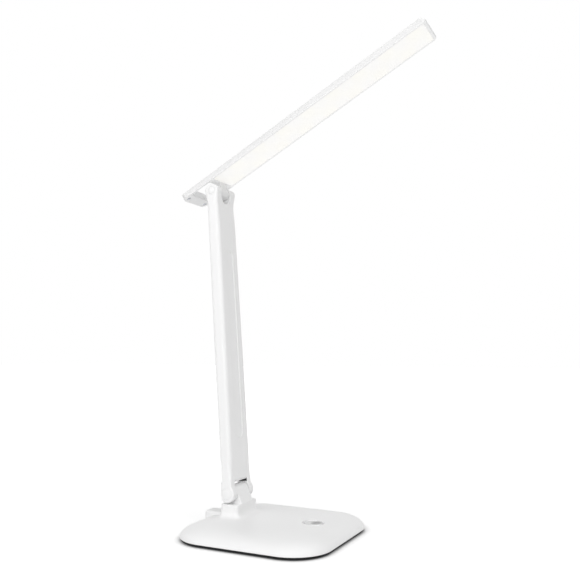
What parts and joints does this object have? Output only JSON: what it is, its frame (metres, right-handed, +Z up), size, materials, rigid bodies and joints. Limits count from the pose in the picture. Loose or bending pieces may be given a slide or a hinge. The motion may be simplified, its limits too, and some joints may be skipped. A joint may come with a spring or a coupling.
{
  "type": "folding desk lamp",
  "caption": "Folding LED desk lamp: domed square base, flat arm and slim light head, joined by two friction hinges.",
  "frame": {"origin": "centre of the base's underside, on the table", "axes": "+X forward, the way the head points; +Y to the lamp's left; +Z up"},
  "size_m": [0.2449, 0.138, 0.4402],
  "materials": {
    "white_shell": "satin moulded ABS, soft gloss",
    "black_plate": "fine-textured black ABS",
    "rubber_mat": "matte non-slip rubber",
    "screw_steel": "zinc-plated",
    "weight_steel": "rolled plate",
    "cell_foil": "laminated foil pouch",
    "circuit_board": "solder-masked glass fibre board",
    "key_disc": "dished, spun and plated",
    "key_ring": "polished plating",
    "inlet_shell": "stamped, tinned",
    "lead_jacket": "soft vinyl jacket",
    "hinge_steel": "turned, zinc-plated",
    "diffuser_milk": "milky polycarbonate, lit from behind",
    "led_board_white": "white solder mask",
    "led_warm": "phosphor",
    "led_cool": "phosphor"
  },
  "bodies": {
    "base": {"base_shell": "white_shell", "base_plate": "black_plate", "base_mat": "rubber_mat", "base_screws": "screw_steel", "base_weight": "weight_steel", "battery_cell": "cell_foil", "control_board": "circuit_board", "board_screws": "screw_steel", "touch_spring": "screw_steel", "touch_key": "key_disc", "touch_ring": "key_ring", "power_inlet": "inlet_shell", "base_lead": "lead_jacket"},
    "arm": {"arm_front_shell": "white_shell", "arm_back_shell": "white_shell", "lower_back_cover": "white_shell", "arm_screws": "screw_steel", "arm_lead": "lead_jacket", "lower_bolt": "hinge_steel", "lower_nut": "hinge_steel", "lower_spring_washer": "hinge_steel", "lower_friction_washers": "hinge_steel", "lower_caps": "white_shell", "upper_bolt": "hinge_steel", "upper_nut": "hinge_steel", "upper_spring_washer": "hinge_steel", "upper_friction_washers": "hinge_steel", "upper_caps": "white_shell"},
    "head": {"head_top_shell": "white_shell", "head_frame": "white_shell", "head_screws": "screw_steel", "diffuser": "diffuser_milk", "led_board": "led_board_white", "led_chips_warm": "led_warm", "led_chips_cool": "led_cool", "head_lead": "lead_jacket"}
  },
  "joints": [
    {"name": "arm_tilt", "type": "hinge", "parent": "base", "child": "arm", "pos_m": [-0.0395, 0, 0.034], "axis": [0, 1, 0], "range_deg": [-20, 94.2]},
    {"name": "head_tilt", "type": "hinge", "parent": "arm", "child": "head", "pos_m": [-0.06007, 0, 0.31405], "axis": [0, 1, 0], "range_deg": [-66.3, 113.7]}
  ]
}
